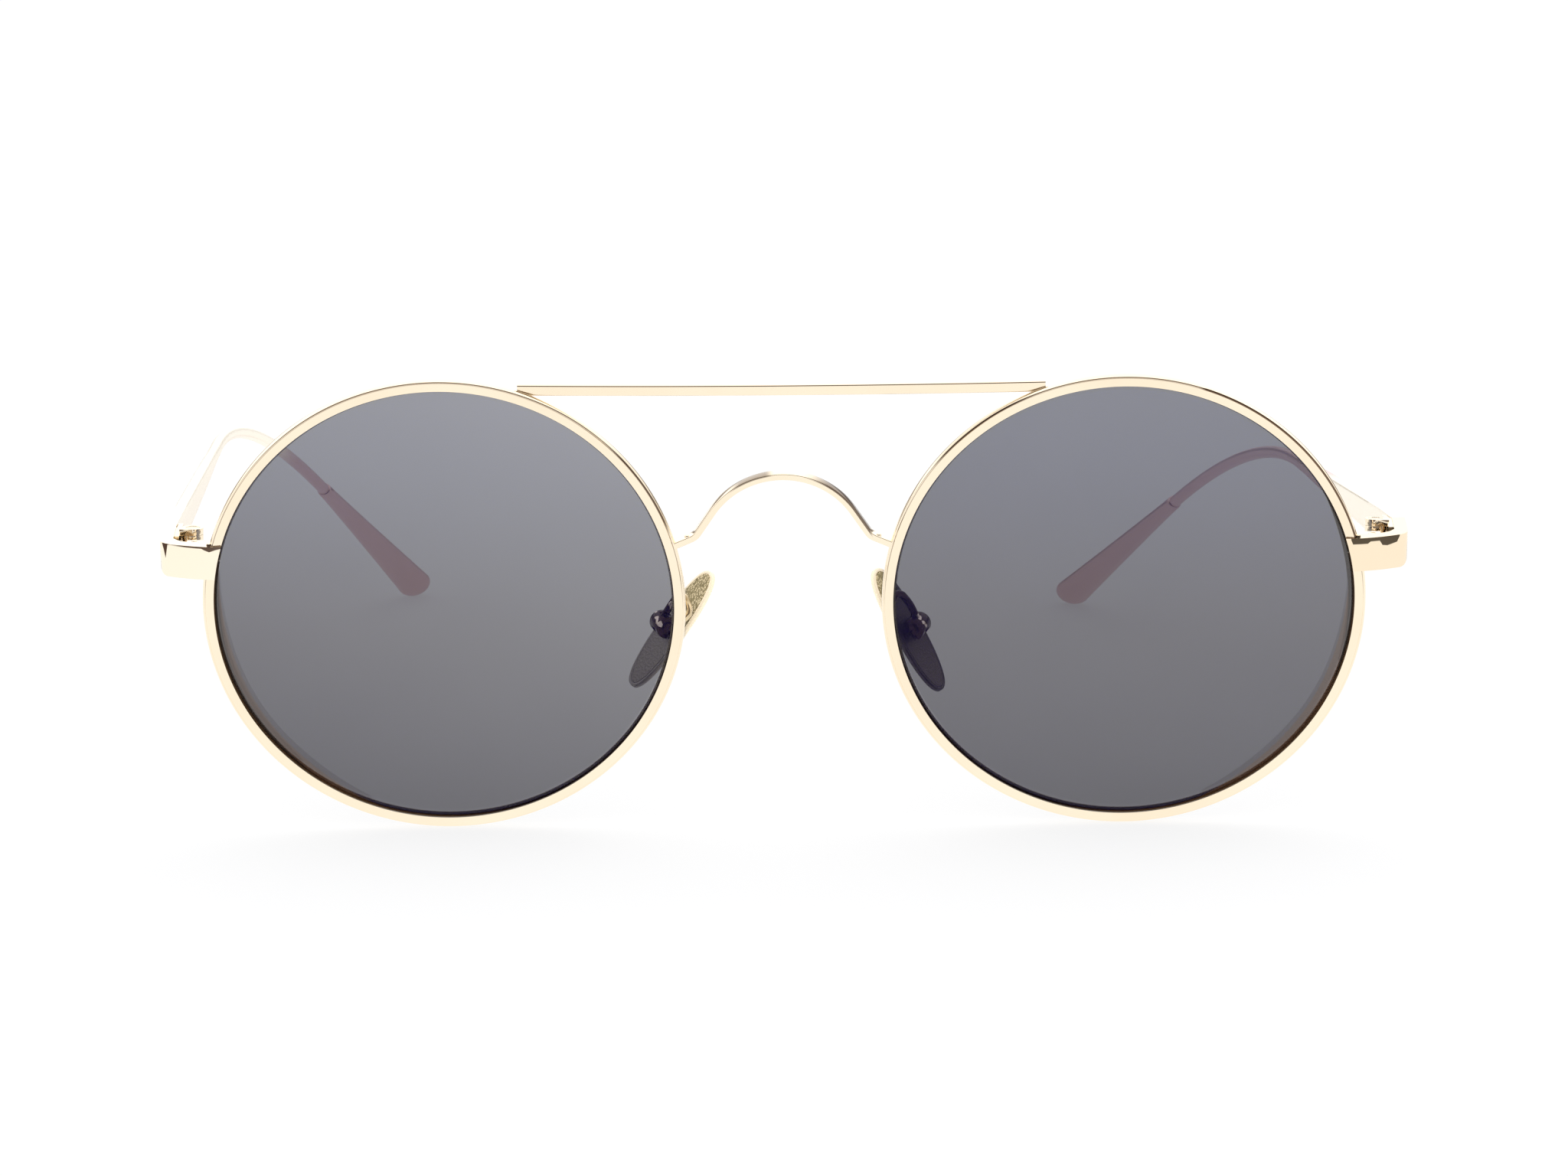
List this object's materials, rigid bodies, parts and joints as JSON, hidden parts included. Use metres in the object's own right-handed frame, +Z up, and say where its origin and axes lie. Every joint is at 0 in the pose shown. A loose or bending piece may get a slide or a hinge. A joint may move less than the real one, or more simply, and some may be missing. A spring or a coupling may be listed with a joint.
{
  "type": "round metal sunglasses",
  "caption": "Round wire-rimmed sunglasses with flat tinted lenses, straight brow bar, arched bridge, rocking nose pads and slim folding temples.",
  "frame": {"origin": "on the surface that the glasses stand on, under the middle of their bounding box, as they stand open", "axes": "+Z up, +X to the right as seen from in front, +Y back along the temples; the glasses face -Y"},
  "size_m": [0.141, 0.144, 0.0537],
  "materials": {
    "metal": "polished champagne gold plate",
    "core": "finely grained pale gold",
    "lens": "smoke grey, flat, clear",
    "pad": "clear silicone"
  },
  "bodies": {
    "front": {"left_rim": "metal", "right_rim": "metal", "left_lens": "lens", "right_lens": "lens", "brow_bar": "metal", "nose_bridge": "metal", "left_endpiece": "metal", "right_endpiece": "metal", "left_lock_upper": "metal", "right_lock_upper": "metal", "left_lock_lower": "metal", "right_lock_lower": "metal", "left_lock_screw": "metal", "right_lock_screw": "metal", "left_front_hinge": "metal", "right_front_hinge": "metal", "left_hinge_screw": "metal", "right_hinge_screw": "metal", "left_pad_arm": "metal", "right_pad_arm": "metal", "left_pad_box": "metal", "right_pad_box": "metal", "left_pad_screw": "metal", "right_pad_screw": "metal"},
    "left_temple": {"left_temple_hinge": "metal", "left_temple_bar": "metal", "left_temple_tip": "metal"},
    "right_temple": {"right_temple_hinge": "metal", "right_temple_bar": "metal", "right_temple_tip": "metal"},
    "left_pad": {"left_pad_core": "core", "left_nose_pad": "pad"},
    "right_pad": {"right_pad_core": "core", "right_nose_pad": "pad"}
  },
  "joints": [
    {"name": "left_fold", "type": "hinge", "parent": "front", "child": "left_temple", "pos_m": [-0.06715, -0.06233, 0.03344], "axis": [-0.0209, 0.0278, -0.9994], "range_deg": [0, 76]},
    {"name": "right_fold", "type": "hinge", "parent": "front", "child": "right_temple", "pos_m": [0.06715, -0.06233, 0.03344], "axis": [0.0209, 0.0239, 0.9995], "range_deg": [-7.9, 62]},
    {"name": "left_rock", "type": "hinge", "parent": "front", "child": "left_pad", "pos_m": [-0.0138, -0.05955, 0.02313], "axis": [-0.3746, 0.9108, 0.1737], "range_deg": [-16, 8]},
    {"name": "right_rock", "type": "hinge", "parent": "front", "child": "right_pad", "pos_m": [0.0151, -0.05946, 0.02269], "axis": [0.3746, 0.9108, 0.1737], "range_deg": [-16, 8]}
  ]
}
